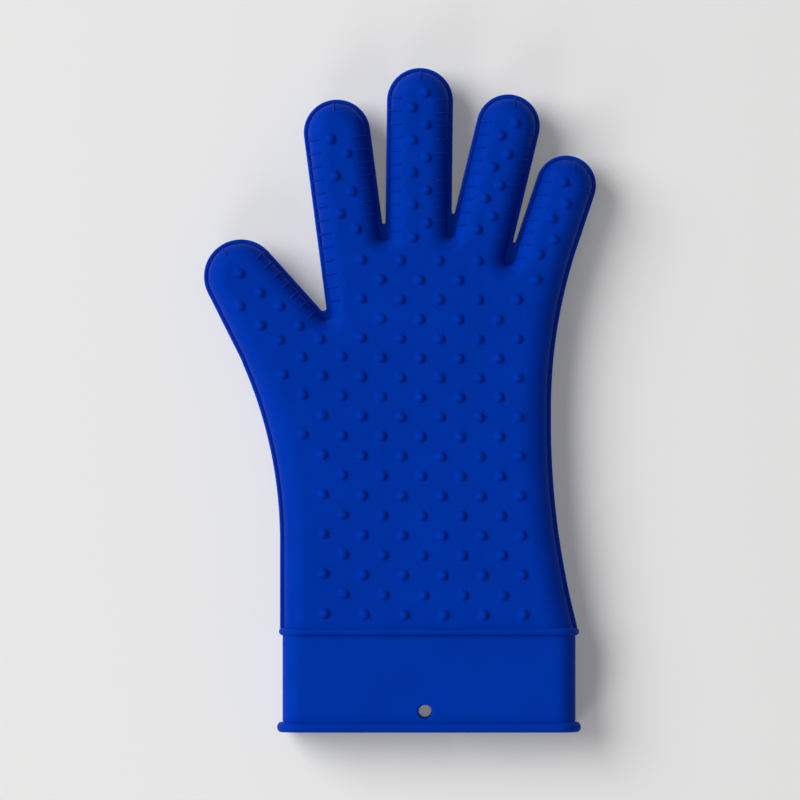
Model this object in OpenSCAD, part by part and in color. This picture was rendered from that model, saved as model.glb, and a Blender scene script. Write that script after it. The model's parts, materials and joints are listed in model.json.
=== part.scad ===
// A five-finger moulded silicone oven glove, lying flat with its nubbed palm side up.
// Millimetres. X runs across the palm with the thumb on the left, Y runs to the fingertips and
// Z runs up. The origin is under the middle of the glove, on the surface that it lies on.

/* [Skin] */
// Thickness of the silicone wall
wall_t = 2; // [1.6:0.1:2.4]
// Height of the front or back skin above the parting plane
skin_h = 13; // [12:0.5:14]
// Height of the upright part of the wall, below the rounded edge
upright_h = 3.5; // [2.5:0.5:5]
// Width of the rounded edge along a digit
digit_edge_w = 9.5; // [8:0.5:9.5]
// Width of the rounded edge along the palm and the gauntlet
palm_edge_w = 13; // [10:0.5:14]
// Width of the flat parting flange outside the wall
flange_w = 2.2; // [1.5:0.1:2.4]
// Thickness of each skin's half of the parting flange
flange_t = 0.7; // [0.5:0.1:1]
// Radius of the wall at the bottom of each gap between two digits
crotch_r = 3; // [2.7:0.05:3.1]

/* [Nubs] */
// Height of a grip nub above the skin
nub_h = 1.75; // [1:0.25:2]
// Radius of a grip nub at its foot
nub_r = 2.6; // [2:0.1:2.6]
// Spacing of the rows of nubs on the palm, at the fingers
row_pitch = 9.72; // [9.7:0.01:9.8]
// Spacing of the columns of nubs on the palm, at the fingers
column_pitch = 9.7; // [9.6:0.05:9.8]
// Height on the palm of the row of nubs nearest the fingers
first_row_y = 69.7; // [69:0.1:70]

/* [Gauntlet] */
// Left edge of the gauntlet's flange
left_x = -60; // [-62:0.5:-58]
// Right edge of the flange at the narrow part of the palm
right_x = 75.5; // [74:0.5:77]
// Lower end of the skins, where the hem bead starts
hem_y = -114; // [-118:1:-112]
// Middle of the cuff across the glove
cuff_x = 14.5; // [14:0.1:15]
// Half the width of the cuff
cuff_half_w = 73.2; // [72:0.1:74]
// Half the height of the cuff
cuff_half_h = 12; // [11:0.5:12.5]
// Corner radius of the cuff's rounded rectangle
cuff_corner_r = 9; // [6:0.5:10]
// Height of the hem bead along the glove
hem_bead_w = 4; // [3:0.5:5]
// Length of the cuff band between its two beads
cuff_band_w = 43; // [40:1:46]
// Height of the rim bead along the glove
rim_bead_w = 5; // [4:0.5:6]
// Distance of the hanging hole from the cuff's open end
hole_inset = 10.5; // [9:0.5:14]
// Distance of the hanging hole from the middle of the cuff
hole_offset = -2; // [-20:1:20]
// Radius of the hanging hole
hole_r = 3.3; // [2:0.1:4]

/* [Hidden] */
$fn = 48;
skin_colour = "#0b3fae";
cuff_colour = "#0b46b4";
fold_colour = "#1450c0";

tip_steps = 12;
crotch_steps = 5;
side_steps = 5;
edge_steps = 5;

// The parting plane is lifted so that the nubs and both beads all reach down to z = 0.
mid_z = skin_h + nub_h;
bead_reach = mid_z - cuff_half_h;

// The wrist folds across one row of nubs.
wrist_row = 10;
wrist_half = 4.5;

// How far below the skin a nub is rooted
nub_root = 0.6;
// How far a cut runs past the solid that it cuts
overshoot = 1;
// A distance below a digit's tip centre that is past the end of every row of nubs
past_all = 100;

// Each digit: centre of its tip, outer radius of its tip, and the lean of its left and right
// edges from straight up, in degrees towards the thumb.
digits = [
    [[-79.5, 61.8], 18.5, 26.6, 41.9],
    [[-31.5, 133.6], 16.6, 7.4, 7.4],
    [[10, 149.5], 16.5, -0.7, -0.7],
    [[54.1, 137], 15.8, -13.5, -13.5],
    [[83.05, 107.3], 14.95, -18.4, -18.4],
];
// Each digit's folds, as distances below its tip centre: the middle hinge and half the length of
// its fold, then the knuckle hinge and half the length of its fold.
folds = [
    [8.75, 6.85, 26.8, 6.6],
    [8.85, 8.75, 35.35, 8.8],
    [15.95, 8.6, 40.3, 8.6],
    [9.95, 8.3, 33.8, 8.3],
    [6.8, 5.1, 22.75, 7.8],
];
// Rows of nubs on each digit: distance of the first below the tip centre, sideways offset of the
// first, then how much both change from nub to nub, and how many nubs there are.
digit_nubs = [
    [[-1.3, 0.35, 24.8, 7.35, 3], [12.4, 3.3, 24.6, 6.8, 2],
     [12.3, -8.55, 25.1, 6.55, 2], [26.1, -5.65, 24.5, 8.2, 2]],
    [[2.8, -3.55, 18.85, 0, 3], [11.1, 3.55, 19, 0, 3]],
    [[-3.95, 2.75, 16.25, 0.32, 5], [3.5, -3.85, 16.25, 0.29, 5]],
    [[-1.9, 3.4, 15.95, -0.2, 4], [5.8, -2.5, 16.1, -0.15, 4]],
    [[-1, -1.4, 19.1, -0.15, 3], [9.05, 3.1, 18.75, -0.2, 2]],
];
THUMB = 0;
LITTLE = 4;

// The left side leans out to the thumb and the right side waves out to the little finger and the
// hem. Each bend is a corner of two straight edges, rounded by a wide radius.
thumb_bend_r = 220;
little_bend_r = 258;
hem_bend = [right_x, -61];
hem_bend_r = 400;
hem_lean = 14;

// ---- Directions and lines in plan ----
// The wall line runs clockwise: up the left side, round each digit, and down the right side.

function up_lean(a) = [-sin(a), cos(a)];
function right_of(v) = [v.y, -v.x];
function turned(v, a) = [v.x * cos(a) - v.y * sin(a), v.x * sin(a) + v.y * cos(a)];
function angle_of(v) = atan2(v.y, v.x);
function cross2(a, b) = a.x * b.y - a.y * b.x;
// Where the line through p along u meets the line through q along v
function meet(p, u, q, v) = p + u * cross2(q - p, v) / cross2(u, v);

function tip(d) = digits[d][0];
function wall_r(d) = digits[d][1] - flange_w;
function left_dir(d) = up_lean(digits[d][2]);
function right_dir(d) = -up_lean(digits[d][3]);
function axis_dir(d) = -up_lean((digits[d][2] + digits[d][3]) / 2);
function across(d) = -right_of(axis_dir(d));
function left_foot(d) = tip(d) - right_of(left_dir(d)) * wall_r(d);
function right_foot(d) = tip(d) - right_of(right_dir(d)) * wall_r(d);

// ---- Stations: [point on the wall line, inset direction, width of the rounded edge] ----

// A station across a digit, cut square to its axis, at distance s below the tip centre
function digit_station(d, s, dir, foot) =
    let (inward = right_of(dir),
         run = (s - (foot - tip(d)) * axis_dir(d)) / (dir * axis_dir(d)),
         side = across(d) * sign(across(d) * inward))
    [foot + dir * run, side / (side * inward), digit_edge_w];
function left_station(d, s) = digit_station(d, s, left_dir(d), left_foot(d));
function right_station(d, s) = digit_station(d, s, right_dir(d), right_foot(d));

// Stations round a digit's tip
function tip_stations(d) =
    let (start = right_of(left_dir(d)), sweep = 180 + digits[d][2] - digits[d][3])
    [for (k = [0:tip_steps])
        let (n = turned(start, -sweep * k / tip_steps)) [tip(d) - n * wall_r(d), n, digit_edge_w]];

// Stations round a corner that opens outwards, between a line along u and a line along v
function bend_stations(corner, u, v, r, steps, width) =
    let (turn = angle_of(v) - angle_of(u),
         start = corner - u * r * tan(turn / 2),
         centre = start - right_of(u) * r)
    [for (k = [0:steps])
        let (n = turned(right_of(u), turn * k / steps)) [centre + n * r, n, width]];

function crotch_stations(d) =
    let (u = right_dir(d), v = left_dir(d + 1))
    bend_stations(meet(right_foot(d), u, left_foot(d + 1), v), u, v, crotch_r, crotch_steps,
        digit_edge_w);

// The upright sides of the wall line, which run on just past the hem so that it can be cut level
left_wall = [left_x + flange_w, hem_y - overshoot];
right_wall = [right_x - flange_w, 0];
hem_corner = hem_bend - [flange_w, 0];
hem_dir = [sin(hem_lean), -cos(hem_lean)];
hem_right = meet(hem_corner, hem_dir, left_wall, [1, 0]);

left_side = concat(
    [[left_wall, [1, 0], palm_edge_w]],
    bend_stations(meet(left_wall, [0, 1], left_foot(THUMB), left_dir(THUMB)), [0, 1],
        left_dir(THUMB), thumb_bend_r + flange_w, side_steps, palm_edge_w));
right_side = concat(
    bend_stations(meet(right_foot(LITTLE), right_dir(LITTLE), right_wall, [0, -1]),
        right_dir(LITTLE), [0, -1], little_bend_r + flange_w, side_steps, palm_edge_w),
    bend_stations(hem_corner, [0, -1], hem_dir, hem_bend_r + flange_w, side_steps, palm_edge_w),
    [[hem_right, right_of(hem_dir), palm_edge_w]]);

// The part of a side between two heights, cut level at both
function level(station) = [station[0], [1 / station[1].x, 0], station[2]];
function blended(a, b, f) = [for (i = [0:2]) a[i] * (1 - f) + b[i] * f];
function level_at(side, y) =
    [for (i = [0:len(side) - 2])
        let (a = side[i], b = side[i + 1], f = (y - a[0].y) / (b[0].y - a[0].y))
        if (f >= 0 && f < 1) level(blended(a, b, f))];
function side_part(side, y_from, y_to) = concat(
    level_at(side, y_from),
    [for (s = side) if ((s[0].y - y_from) * (s[0].y - y_to) < 0) s],
    level_at(side, y_to));

// ---- The skin's section: pairs of outer and inner points, [inset, height] ----

function edge_arc(w, h, a) = [w * (1 - cos(a)), h * sin(a)];
function outer_section(w) = concat(
    [[-flange_w, flange_t], [0, flange_t]],
    [for (k = [0:edge_steps]) [0, upright_h] + edge_arc(w, skin_h - upright_h, 90 * k / edge_steps)]);
function inner_section(w) = concat(
    [[-flange_w, 0], [wall_t, 0]],
    [for (k = [0:edge_steps])
        [wall_t, upright_h]
        + edge_arc(w - wall_t, skin_h - upright_h - wall_t, 90 * k / edge_steps)]);

function placed(station, point) = concat(station[0] + station[1] * point[0], [point[1]]);

// The rounded edge of a skin along a run of stations
module edge_band(stations) {
    pairs = edge_steps + 3;
    last = len(stations) - 1;
    points = [for (s = stations, p = concat(outer_section(s[2]), inner_section(s[2]))) placed(s, p)];
    function out(i, k) = i * 2 * pairs + k;
    function inn(i, k) = out(i, k) + pairs;
    faces = concat(
        [for (i = [0:last - 1], k = [0:pairs - 2])
            [out(i, k), out(i + 1, k), out(i + 1, k + 1), out(i, k + 1)]],
        [for (i = [0:last - 1], k = [0:pairs - 2])
            [inn(i, k), inn(i, k + 1), inn(i + 1, k + 1), inn(i + 1, k)]],
        [for (i = [0:last - 1]) [out(i, 0), inn(i, 0), inn(i + 1, 0), out(i + 1, 0)]],
        [for (i = [0:last - 1])
            [out(i, pairs - 1), out(i + 1, pairs - 1), inn(i + 1, pairs - 1), inn(i, pairs - 1)]],
        [for (k = [0:pairs - 2]) [out(0, k), out(0, k + 1), inn(0, k + 1), inn(0, k)]],
        [for (k = [0:pairs - 2])
            [inn(last, k), inn(last, k + 1), out(last, k + 1), out(last, k)]]);
    polyhedron(points, faces);
}

// A piece of one skin: its rounded edges, the flat sheet between them, and its nubs
module skin(paths, nubs) {
    sheet = [for (path = paths, s = path) s[0] + s[1] * s[2]];
    for (path = paths) edge_band(path);
    translate([0, 0, skin_h - wall_t]) linear_extrude(wall_t) polygon(sheet);
    for (at = nubs) translate([at.x, at.y, skin_h]) nub();
}

// A dome on a short round root that is sunk into the skin
module nub() {
    dome_r = (nub_r * nub_r + nub_h * nub_h) / (2 * nub_h);
    rotate_extrude() {
        intersection() {
            translate([0, nub_h - dome_r]) circle(dome_r);
            square([nub_r, nub_h]);
        }
        translate([0, -nub_root]) square([nub_r, nub_root]);
    }
}

module front() translate([0, 0, mid_z]) children();
module back() translate([0, 0, mid_z]) mirror([0, 0, 1]) children();

// ---- Nub positions ----

palm_rows = 19;
palm_columns = 8;
nub_clearance = 12;

function digit_point(d, s, offset) = tip(d) + axis_dir(d) * s + across(d) * offset;
function digit_row(d, row, s_from, s_to) =
    [for (k = [0:row[4] - 1])
        let (s = row[0] + k * row[2])
        if (s > s_from && s < s_to) digit_point(d, s, row[1] + k * row[3])];
function nubs_on(d, s_from, s_to) = [for (row = digit_nubs[d]) each digit_row(d, row, s_from, s_to)];

// The palm's nubs stand in staggered rows. Towards the hem the rows and the columns spread a
// little and the columns drift to the right. Each row bows, and leans down to the right.
palm_mid_x = 0.2;
column_spread = 0.24;
column_drift = 2;
row_spread = 0.0063;
row_bow = 0.022;
row_lean = [0.18, 0.1];
function lattice_point(row, column) =
    let (f = row / (palm_rows - 1), lean = row_lean[0] * (1 - f) + row_lean[1] * f)
    [palm_mid_x + column_drift * f * f + column * (column_pitch + column_spread * f),
     first_row_y - row * (row_pitch + row_spread * row) + column * (row_bow * column - lean)];
wrist_y = lattice_point(wrist_row, 0).y;
palm_lattice = [for (row = [0:palm_rows - 1], column = [-palm_columns:palm_columns])
    if ((row + column) % 2 == 0) lattice_point(row, column)];

// How far a point is from the segment between two stations
function gap_to(p, a, b) =
    let (ab = b - a, f = max(0, min(1, (p - a) * ab / (ab * ab)))) norm(p - a - ab * f);
function clear_of(p, path, gap) =
    min([for (i = [0:len(path) - 2]) gap_to(p, path[i][0], path[i + 1][0])]) >= gap;
// Inside a closed outline, when a line from the point to the right crosses it an odd number of times
function inside(p, path) =
    len([for (i = [0:len(path) - 1])
        let (a = path[i][0], b = path[(i + 1) % len(path)][0])
        if ((a.y > p.y) != (b.y > p.y) && a.x + (b.x - a.x) * (p.y - a.y) / (b.y - a.y) > p.x) 1])
    % 2 == 1;
function near_any(p, others) = [for (q = others) if (norm(p - q) < nub_clearance) 1] != [];

thumb_nubs = nubs_on(THUMB, -nub_clearance, past_all);
palm_outline = concat(
    left_side,
    [left_station(THUMB, 0), right_station(THUMB, 0)],
    [for (d = [0:3]) each concat(crotch_stations(d),
        [left_station(d + 1, 0), right_station(d + 1, 0)])],
    right_side);
palm_nubs = [for (p = palm_lattice)
    if (inside(p, palm_outline) && clear_of(p, palm_outline, nub_clearance)
        && !near_any(p, thumb_nubs)) p];
function palm_nubs_between(y_from, y_to) = [for (p = palm_nubs) if (p.y > y_from && p.y < y_to) p];

// ---- Where each digit is divided ----

function middle_top(d) = folds[d][0] - folds[d][1];
function middle_bottom(d) = folds[d][0] + folds[d][1];
function knuckle_top(d) = folds[d][2] - folds[d][3];
function knuckle_bottom(d) = folds[d][2] + folds[d][3];

module digit_slice(d, s_from, s_to) skin(
    [[left_station(d, s_to), left_station(d, s_from)],
     [right_station(d, s_from), right_station(d, s_to)]],
    nubs_on(d, s_from, s_to));

module digit_end(d) skin(
    [concat([left_station(d, middle_top(d))], tip_stations(d), [right_station(d, middle_top(d))])],
    nubs_on(d, -nub_clearance, middle_top(d)));

module digit_base(d) digit_slice(d, middle_bottom(d), knuckle_top(d));

module fold_ring(d, s_from, s_to) color(fold_colour) {
    front() digit_slice(d, s_from, s_to);
    back() digit_slice(d, s_from, s_to);
}
module knuckle_fold(d) fold_ring(d, knuckle_top(d), knuckle_bottom(d));
module middle_fold(d) fold_ring(d, middle_top(d), middle_bottom(d));

// ---- Palm and gauntlet ----

hand_y = wrist_y + wrist_half;
gauntlet_y = wrist_y - wrist_half;

module band_piece(y_from, y_to) skin(
    [side_part(left_side, y_from, y_to), side_part(right_side, y_to, y_from)],
    palm_nubs_between(y_from, y_to));

// The stations of a side that are above the wrist and below a digit's knuckle
function side_of_hand(side, d) =
    [for (s = side) if (s[0].y > hand_y && (s[0] - tip(d)) * axis_dir(d) > knuckle_bottom(d)) s];

module hand_skin() skin(
    concat(
        [concat(level_at(left_side, hand_y), side_of_hand(left_side, THUMB),
            [left_station(THUMB, knuckle_bottom(THUMB))])],
        [for (d = [0:3]) concat([right_station(d, knuckle_bottom(d))], crotch_stations(d),
            [left_station(d + 1, knuckle_bottom(d + 1))])],
        [concat([right_station(LITTLE, knuckle_bottom(LITTLE))],
            side_of_hand(right_side, LITTLE), level_at(right_side, hand_y))]),
    concat(palm_nubs_between(hand_y, first_row_y + row_pitch),
        [for (d = [THUMB:LITTLE]) each nubs_on(d, knuckle_bottom(d), past_all)]));

module gauntlet_front() color(skin_colour) front() band_piece(hem_y, gauntlet_y);
module gauntlet_back() color(skin_colour) back() band_piece(hem_y, gauntlet_y);
module wrist_fold() color(fold_colour) {
    front() band_piece(gauntlet_y, hand_y);
    back() band_piece(gauntlet_y, hand_y);
}
module hand_front() color(skin_colour) front() hand_skin();
module hand_back() color(skin_colour) back() hand_skin();

// ---- Cuff ----

hem_half_w = 72.25;
band_from = hem_bead_w - hem_y;
band_to = band_from + cuff_band_w;
hole_from_origin = band_to + rim_bead_w - hole_inset;

// Sweeps a section round the cuff's rounded rectangle. The section's x points out of the cuff
// from its surface, and its y is the distance below the origin along the glove.
module round_cuff(half_w, half_h, r) {
    run_w = half_w - r;
    run_h = half_h - r;
    translate([cuff_x, 0, mid_z]) rotate([90, 0, 0]) for (a = [0, 180]) rotate([0, 0, a]) {
        translate([half_w, run_h, 0]) rotate([90, 0, 0]) linear_extrude(2 * run_h) children();
        rotate([0, 0, 90]) translate([half_h, run_w, 0]) rotate([90, 0, 0])
            linear_extrude(2 * run_w) children();
        translate([run_w, run_h, 0]) rotate_extrude(angle = 90) translate([r, 0]) children();
        translate([-run_w, run_h, 0]) rotate([0, 0, 90])
            rotate_extrude(angle = 90) translate([r, 0]) children();
    }
}

module cuff_band() color(cuff_colour) difference() {
    round_cuff(cuff_half_w, cuff_half_h, cuff_corner_r)
        translate([-wall_t, band_from]) square([wall_t, cuff_band_w]);
    translate([cuff_x + hole_offset, -hole_from_origin, -overshoot])
        cylinder(h = 2 * (mid_z + overshoot), r = hole_r);
}

module hem_bead() color(cuff_colour)
    round_cuff(hem_half_w, cuff_half_h, cuff_corner_r) {
        crown = bead_reach - hem_bead_w / 2;
        union() {
            translate([-wall_t, -hem_y]) square([wall_t + crown, hem_bead_w]);
            translate([crown, hem_bead_w / 2 - hem_y]) circle(hem_bead_w / 2);
        }
    }

module rim_bead() color(cuff_colour)
    round_cuff(cuff_half_w, cuff_half_h, cuff_corner_r) {
        crown = bead_reach - rim_bead_w / 2;
        union() {
            translate([crown, band_to + rim_bead_w / 2]) circle(rim_bead_w / 2);
            translate([-wall_t, band_to]) square([wall_t + crown, rim_bead_w / 2]);
        }
    }

// ---- Digit nodes ----

names = ["thumb", "index", "middle", "ring", "little"];
module base_front(d) color(skin_colour) front() digit_base(d);
module base_back(d) color(skin_colour) back() digit_base(d);
module tip_front(d) color(skin_colour) front() digit_end(d);
module tip_back(d) color(skin_colour) back() digit_end(d);

cuff_band();
rim_bead();
hem_bead();
gauntlet_front();
gauntlet_back();
wrist_fold();
hand_front();
hand_back();
for (d = [0:4]) {
    knuckle_fold(d);
    base_front(d);
    base_back(d);
    middle_fold(d);
    tip_front(d);
    tip_back(d);
}
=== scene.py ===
"""A blue five-finger silicone oven glove lying flat, nubbed palm up, on a pale floor.

Shapes are worked out in millimetres in the CAD's own frame and scaled to metres at the end.
Each skin is a closed shell: a rounded edge swept along the glove's wall line, and a sheet whose
height follows from its distance to that line, with the grip nubs standing on it.
"""
import json
import math
from collections import namedtuple

import bmesh
import bpy
import numpy as np
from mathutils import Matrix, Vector
from mathutils.geometry import delaunay_2d_cdt


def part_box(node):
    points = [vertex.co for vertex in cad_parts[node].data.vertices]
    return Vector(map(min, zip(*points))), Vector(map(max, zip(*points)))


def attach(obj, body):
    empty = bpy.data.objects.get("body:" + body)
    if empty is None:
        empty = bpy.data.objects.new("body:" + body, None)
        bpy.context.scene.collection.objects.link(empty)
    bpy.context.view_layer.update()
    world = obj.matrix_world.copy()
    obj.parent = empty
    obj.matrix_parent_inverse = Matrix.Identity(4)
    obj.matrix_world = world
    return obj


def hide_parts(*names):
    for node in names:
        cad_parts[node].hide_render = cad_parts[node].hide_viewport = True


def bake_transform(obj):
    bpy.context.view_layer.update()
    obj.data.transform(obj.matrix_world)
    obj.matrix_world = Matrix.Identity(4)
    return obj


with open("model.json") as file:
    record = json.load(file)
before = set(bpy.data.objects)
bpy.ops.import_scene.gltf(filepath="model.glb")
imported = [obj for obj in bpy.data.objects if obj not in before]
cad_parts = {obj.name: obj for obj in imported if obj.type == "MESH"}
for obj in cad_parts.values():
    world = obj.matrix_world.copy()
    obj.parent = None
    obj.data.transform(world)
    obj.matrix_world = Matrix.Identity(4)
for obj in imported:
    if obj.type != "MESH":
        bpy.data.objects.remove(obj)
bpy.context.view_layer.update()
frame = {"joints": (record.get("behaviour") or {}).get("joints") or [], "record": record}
MM = 0.001

# ---- Driving dimensions, in millimetres. Those that the CAD part has too hold its values ----

WALL = 2.0                  # thickness of the silicone
SKIN_H = 13.0               # height of a skin above the parting plane
UPRIGHT_H = 3.5             # height of the upright foot of the wall
DIGIT_EDGE = 9.5            # width of the rounded edge on a digit
PALM_EDGE = 13.0            # width of the rounded edge on the palm
FLANGE_W = 2.2              # width of the parting flange
NUB_H = 1.75
NUB_R = 2.6
NUB_FOOT = 2.78             # radius where a nub's small fillet meets the skin
ROW_PITCH = 9.72
COLUMN_PITCH = 9.7
FIRST_ROW_Y = 69.7
PALM_ROWS = 19
PALM_COLUMNS = 8
NUB_CLEARANCE = 12.0        # from a palm nub's centre to the wall line or to a thumb nub
LEFT_X = -60.0              # flange edges of the gauntlet and the palm
RIGHT_X = 75.5
HEM_Y = -114.0
HEM_LEAN = 14.0
HEM_BEND_Y = -61.0
THUMB_BEND_R = 220.0
LITTLE_BEND_R = 258.0
HEM_BEND_R = 400.0
SHEET_INSET = 6.2           # where the swept edge hands over to the sheet
EASE_LENGTH = 30.0          # over which the palm's edge narrows to a digit's
CUT_MARGIN = 0.2            # from the stretch that a knuckle bends down to the root cut
CUT_CLEARANCE = 1.5         # least distance from a root cut to the next station of the palm's sides

# Spacing of the mesh
TIP_PITCH = 1.3             # along the wall line round a tip
DIGIT_PITCH = 2.4           # along the wall line of a digit or a gap, and over a skin's outside
SIDE_PITCH = 3.2            # along the wall line of the palm and the gauntlet
INSIDE_PITCH = 4.5          # over a skin's inside
CUFF_PITCH = 4.0            # over the cuff

CUFF_HALF_W = 73.2
CUFF_CORNER = 9.0
HEM_BEAD = 4.0
CUFF_BAND = 43.0
RIM_BEAD = 5.0

MID_Z = SKIN_H + NUB_H      # the parting plane above the floor
RISE = SKIN_H - UPRIGHT_H   # height of the rounded part of an edge


# ---- Plan geometry ----

def vec(x, y):
    return np.array([x, y], float)


def up_lean(degrees):
    """Straight up the glove, leaning towards the thumb."""
    a = math.radians(degrees)
    return vec(-math.sin(a), math.cos(a))


def right_of(v):
    return vec(v[1], -v[0])


def turned(v, radians):
    c, s = math.cos(radians), math.sin(radians)
    return vec(v[0] * c - v[1] * s, v[0] * s + v[1] * c)


def cross(a, b):
    return a[0] * b[1] - a[1] * b[0]


def meet(p, u, q, v):
    """Where the line through p along u meets the line through q along v."""
    return p + u * (cross(q - p, v) / cross(u, v))


def unit(v):
    return v / np.linalg.norm(v)


def smooth_step(t):
    t = min(1.0, max(0.0, t))
    return t * t * (3 - 2 * t)


def spread(a, b, pitch):
    """Values from a to b, both ends included, about pitch apart."""
    steps = max(1, math.ceil(abs(b - a) / pitch))
    return [a + (b - a) * k / steps for k in range(steps + 1)]


# A station is a place along the wall line: the wall's foot, the flange's edge outside it, the
# direction inwards (scaled so that a step of d ends d from the wall) and the edge's width.
Station = namedtuple("Station", "wall flange inward width")


def station(wall, inward, width):
    return Station(wall, wall - inward * FLANGE_W, inward, width)


# Rows of nubs: first distance below the tip's centre, first sideways offset, the two steps, count.
# Ribs: first distance along the wall from where the tip starts to curve, pitch, count, direction
# and length.
SQUARE, LEVEL = "square to the edge", "level across the glove"
Ribs = namedtuple("Ribs", "first pitch count direction length")


class Digit:
    """A finger or the thumb: two straight edges and a round tip, with its hinges from the frame."""

    def __init__(self, name, tip, radius, lean_left, lean_right, nub_rows, left_ribs, right_ribs):
        self.name = name
        self.tip = vec(*tip)
        self.wall_r = radius - FLANGE_W
        self.up_left = up_lean(lean_left)
        self.down_right = -up_lean(lean_right)
        self.axis = -up_lean((lean_left + lean_right) / 2)
        self.across = -right_of(self.axis)
        self.feet = {
            "left": self.tip - right_of(self.up_left) * self.wall_r,
            "right": self.tip - right_of(self.down_right) * self.wall_r,
        }
        self.down = {"left": -self.up_left, "right": self.down_right}
        self.sweep = math.pi + math.radians(lean_left - lean_right)
        self.nub_rows = nub_rows
        self.ribs = {"left": left_ribs, "right": right_ribs}
        self.knuckle = self.hinge("knuckle")
        self.middle = self.hinge("middle")

    def hinge(self, which):
        """Distance of a hinge below the tip's centre."""
        joint = next(j for j in frame["joints"] if j["name"] == f"{self.name}_{which}")
        return float((vec(*joint["pos_m"][:2]) / MM - self.tip) @ self.axis)

    def point(self, s, offset=0.0):
        return self.tip + self.axis * s + self.across * offset

    def wall_at(self, side, t):
        """Wall point and inward normal at t along a side: t runs down from where the tip's curve
        ends, and is negative round the tip."""
        down = self.down[side]
        normal = right_of(-down) if side == "left" else right_of(down)
        if t >= 0:
            return self.feet[side] + down * t, normal
        turn = t / self.wall_r if side == "left" else -t / self.wall_r
        normal = turned(normal, turn)
        return self.tip - normal * self.wall_r, normal

    def t_at(self, side, s):
        return float((s - (self.feet[side] - self.tip) @ self.axis) / (self.down[side] @ self.axis))

    def station(self, side, t, width=DIGIT_EDGE):
        """Square to the wall round the tip, and square to the digit's axis further down."""
        wall, normal = self.wall_at(side, t)
        straight = self.across if side == "left" else -self.across
        share = smooth_step(t / 6)
        aim = unit(normal * (1 - share) + straight * share)
        return station(wall, aim / (aim @ normal), width)

    def run(self, side, s_from, s_to):
        """Stations down or up one straight side."""
        a, b = self.t_at(side, s_from), self.t_at(side, s_to)
        return [self.station(side, t) for t in spread(a, b, DIGIT_PITCH)]

    def end_run(self, s):
        """Stations up the left side, round the tip and down the right side."""
        half = self.wall_r * self.sweep / 2
        left = spread(self.t_at("left", s), 0, DIGIT_PITCH)[:-1]
        left += spread(0, -half, TIP_PITCH)
        right = spread(-half, 0, TIP_PITCH)[1:-1]
        right += spread(0, self.t_at("right", s), DIGIT_PITCH)
        return [self.station("left", t) for t in left] + [self.station("right", t) for t in right]

    def nubs(self):
        return [
            self.point(s0 + k * ds, o0 + k * do)
            for s0, o0, ds, do, count in self.nub_rows
            for k in range(count)
        ]


NO_RIBS = Ribs(0, 1, 0, SQUARE, 1)
DIGITS = [
    Digit("thumb", (-79.5, 61.8), 18.5, 26.6, 41.9,
          [(-1.3, 0.35, 24.8, 7.35, 3), (12.4, 3.3, 24.6, 6.8, 2),
           (12.3, -8.55, 25.1, 6.55, 2), (26.1, -5.65, 24.5, 8.2, 2)],
          NO_RIBS, Ribs(-1.4, 6.6, 7, SQUARE, 5.6)),
    Digit("index", (-31.5, 133.6), 16.6, 7.4, 7.4,
          [(2.8, -3.55, 18.85, 0, 3), (11.1, 3.55, 19, 0, 3)],
          Ribs(2.3, 6.73, 13, SQUARE, 5.5), Ribs(3.5, 6.55, 7, SQUARE, 7.0)),
    Digit("middle", (10, 149.5), 16.5, -0.7, -0.7,
          [(-3.95, 2.75, 16.25, 0.32, 5), (3.5, -3.85, 16.25, 0.29, 5)],
          Ribs(-1.6, 6.7, 11, SQUARE, 5.5), Ribs(-0.65, 6.7, 11, SQUARE, 5.7)),
    Digit("ring", (54.1, 137), 15.8, -13.5, -13.5,
          [(-1.9, 3.4, 15.95, -0.2, 4), (5.8, -2.5, 16.1, -0.15, 4)],
          Ribs(1.2, 6.65, 9, LEVEL, 5.5), Ribs(1.5, 6.6, 9, SQUARE, 5.6)),
    Digit("little", (83.05, 107.3), 14.95, -18.4, -18.4,
          [(-1, -1.4, 19.1, -0.15, 3), (9.05, 3.1, 18.75, -0.2, 2)],
          Ribs(2.65, 6.64, 7, LEVEL, 5.5), Ribs(0, 1, 1, SQUARE, 5.5)),
]
THUMB, LITTLE = DIGITS[0], DIGITS[-1]
CROTCH_STEPS = 14
# How far up the glove the flange's edge and the wall reach at the bottom of each gap
CROTCHES = [(44.5, 40.0), (88.05, 79.75), (93.15, 81.35), (78.7, 67.75)]

# Where each digit is divided: its root cut, then the stretch that the knuckle bends, the middle
# cut and the stretch that the middle hinge bends, as distances below the tip's centre.
KNUCKLE_HALF = {"thumb": 7.4, "index": 12.0, "middle": 12.0, "ring": 12.0, "little": 9.4}
MIDDLE_HALF = {"thumb": 9.4, "index": 12.0, "middle": 12.0, "ring": 11.7, "little": 6.5}


def root_cut(digit):
    return digit.knuckle + KNUCKLE_HALF[digit.name] + CUT_MARGIN


def middle_cut(digit):
    top = digit.knuckle - KNUCKLE_HALF[digit.name]
    bottom = digit.middle + MIDDLE_HALF[digit.name]
    return (top + bottom) / 2


# ---- The wall line of the palm piece ----

def bend(corner, u, v, radius):
    """Stations round a wide bend of the palm's sides between a line along u and one along v."""
    turn = math.atan2(v[1], v[0]) - math.atan2(u[1], u[0])
    start = corner - u * radius * math.tan(turn / 2)
    centre = start - right_of(u) * radius
    steps = max(2, math.ceil(abs(turn) * radius / SIDE_PITCH))
    normals = [turned(right_of(u), turn * k / steps) for k in range(steps + 1)]
    return [station(centre + n * radius, n, PALM_EDGE) for n in normals]


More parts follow.
